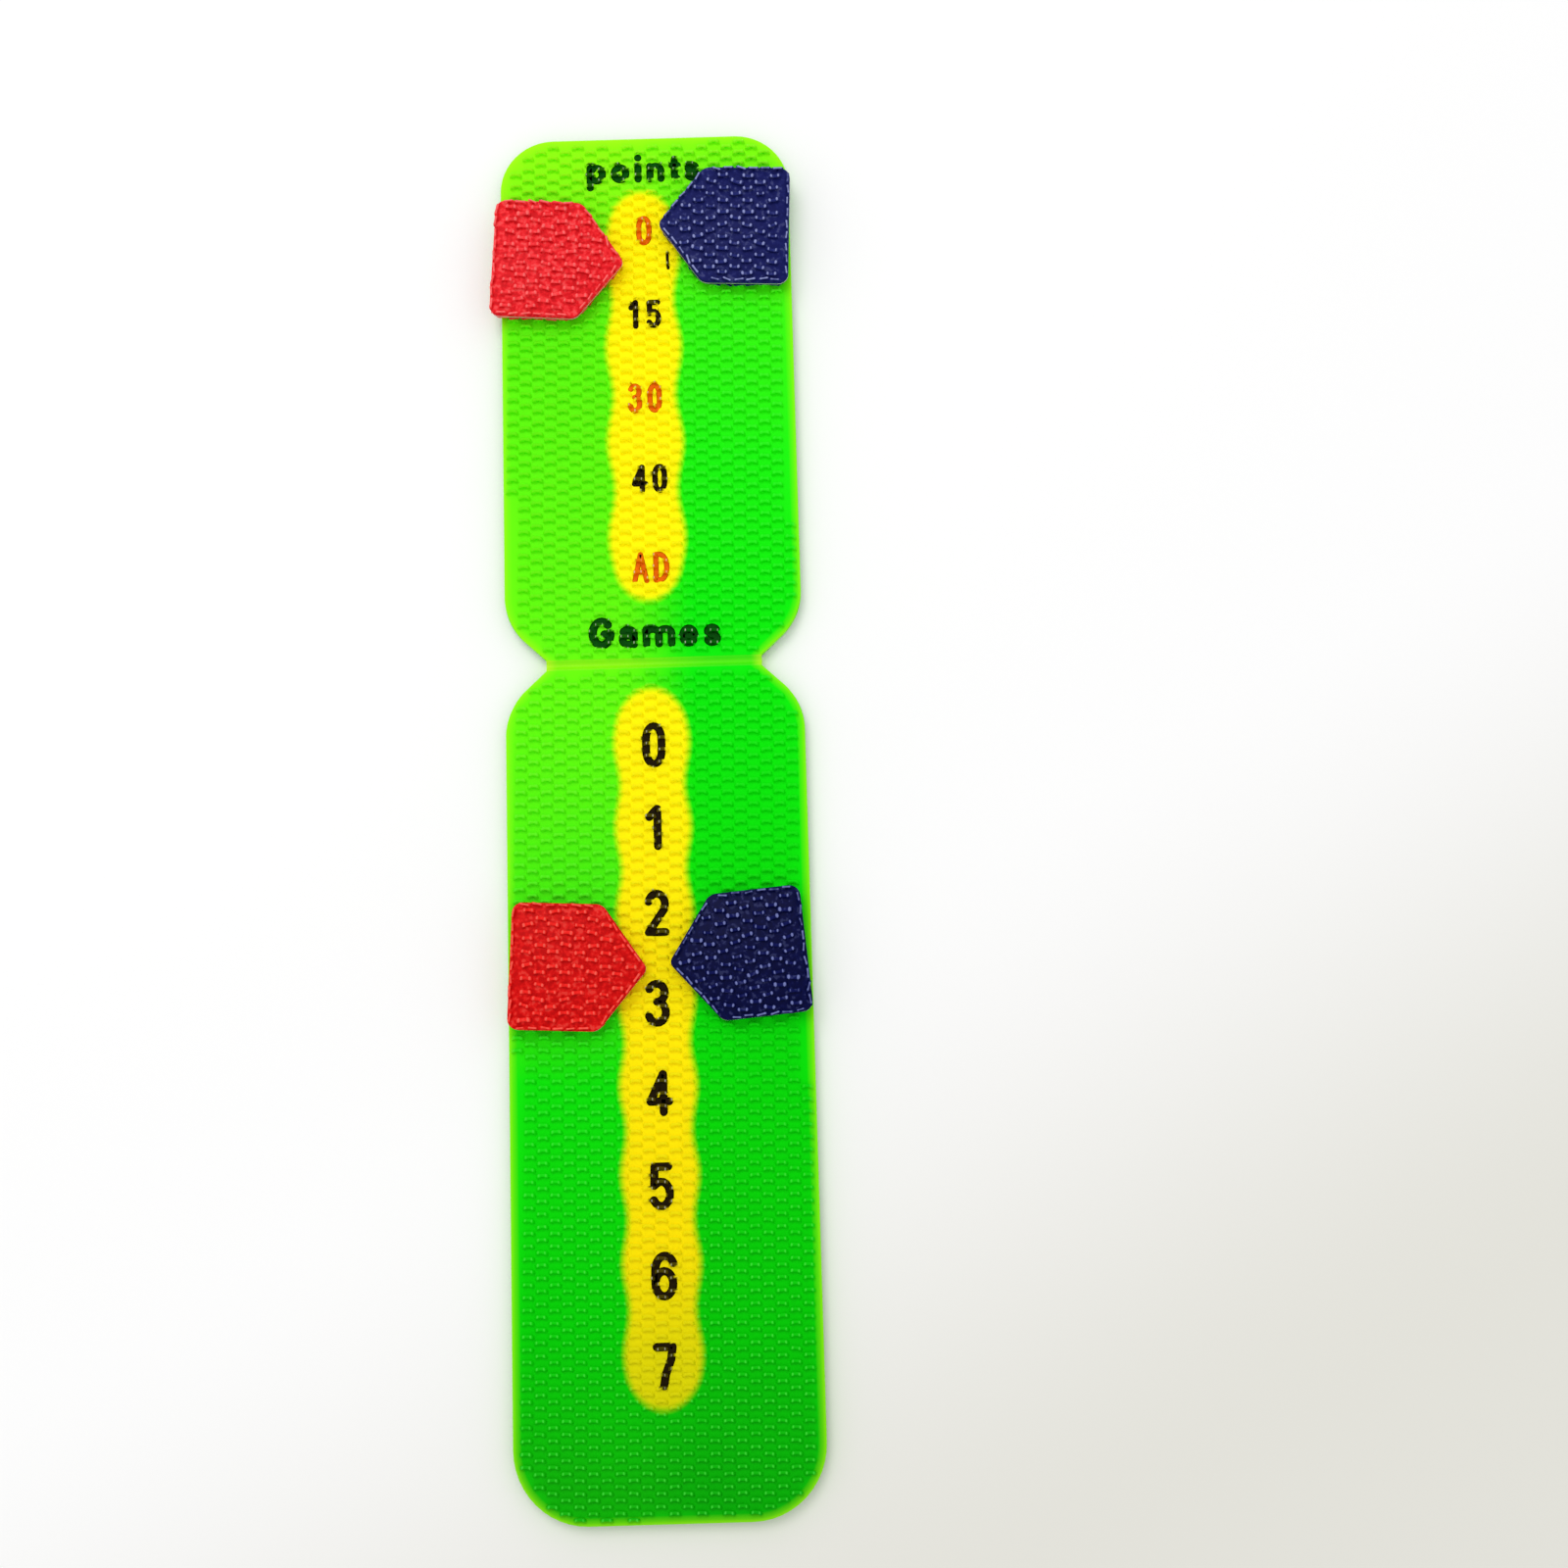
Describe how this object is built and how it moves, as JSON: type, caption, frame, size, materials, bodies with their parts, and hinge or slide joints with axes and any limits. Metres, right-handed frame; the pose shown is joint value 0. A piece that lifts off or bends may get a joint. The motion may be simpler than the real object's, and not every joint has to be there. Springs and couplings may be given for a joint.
{
  "type": "tennis score counter",
  "caption": "Folding hook-tape score card with a points scale and a games scale, each read by a red and a blue hook-faced pointer that slides along it.",
  "frame": {"origin": "middle of the fold line, on the card's back face", "axes": "+X to the right of the scales, +Y from the fold to the end of the points panel, +Z out of the printed face"},
  "size_m": [0.026, 0.1162, 0.003],
  "materials": {
    "card_hook_sheet": "moulded hook tape over a lime to green print with a yellow scale",
    "card_back_sheet": "moulded lime hook tape, unprinted",
    "card_bond_film": "clear yellowish melt film",
    "card_print_film": "printed film, lime to green with a yellow scale",
    "card_crease": "pressed and slightly glossy",
    "red_hook_sheet": "moulded red hook tape",
    "blue_hook_sheet": "moulded navy hook tape",
    "pointer_bond_film": "clear melt film, seen at the cut edge"
  },
  "bodies": {
    "games_panel": {"games_back_sheet": "card_back_sheet", "games_bond_film": "card_bond_film", "games_print_film": "card_print_film", "games_hook_sheet": "card_hook_sheet", "fold_crease": "card_crease"},
    "points_panel": {"points_back_sheet": "card_back_sheet", "points_bond_film": "card_bond_film", "points_print_film": "card_print_film", "points_hook_sheet": "card_hook_sheet"},
    "red_points_pointer": {"red_points_pointer_grip_back": "red_hook_sheet", "red_points_pointer_bond_film": "pointer_bond_film", "red_points_pointer_hook_face": "red_hook_sheet"},
    "blue_points_pointer": {"blue_points_pointer_grip_back": "blue_hook_sheet", "blue_points_pointer_bond_film": "pointer_bond_film", "blue_points_pointer_hook_face": "blue_hook_sheet"},
    "red_games_pointer": {"red_games_pointer_grip_back": "red_hook_sheet", "red_games_pointer_bond_film": "pointer_bond_film", "red_games_pointer_hook_face": "red_hook_sheet"},
    "blue_games_pointer": {"blue_games_pointer_grip_back": "blue_hook_sheet", "blue_games_pointer_bond_film": "pointer_bond_film", "blue_games_pointer_hook_face": "blue_hook_sheet"}
  },
  "joints": [
    {"name": "panel_fold", "type": "hinge", "parent": "games_panel", "child": "points_panel", "pos_m": [0, 0, 0], "axis": [-1, 0, 0], "range_deg": [0, 179.5], "deforming": ["fold_crease"]},
    {"name": "red_points_slide", "type": "slide", "parent": "points_panel", "child": "red_points_pointer", "axis": [0, 1, 0], "range_m": [-0.0266, 0.0034]},
    {"name": "blue_points_slide", "type": "slide", "parent": "points_panel", "child": "blue_points_pointer", "axis": [0, 1, 0], "range_m": [-0.03, 0]},
    {"name": "red_games_slide", "type": "slide", "parent": "games_panel", "child": "red_games_pointer", "axis": [0, 1, 0], "range_m": [-0.0317, 0.0187]},
    {"name": "blue_games_slide", "type": "slide", "parent": "games_panel", "child": "blue_games_pointer", "axis": [0, 1, 0], "range_m": [-0.0321, 0.0183]}
  ]
}
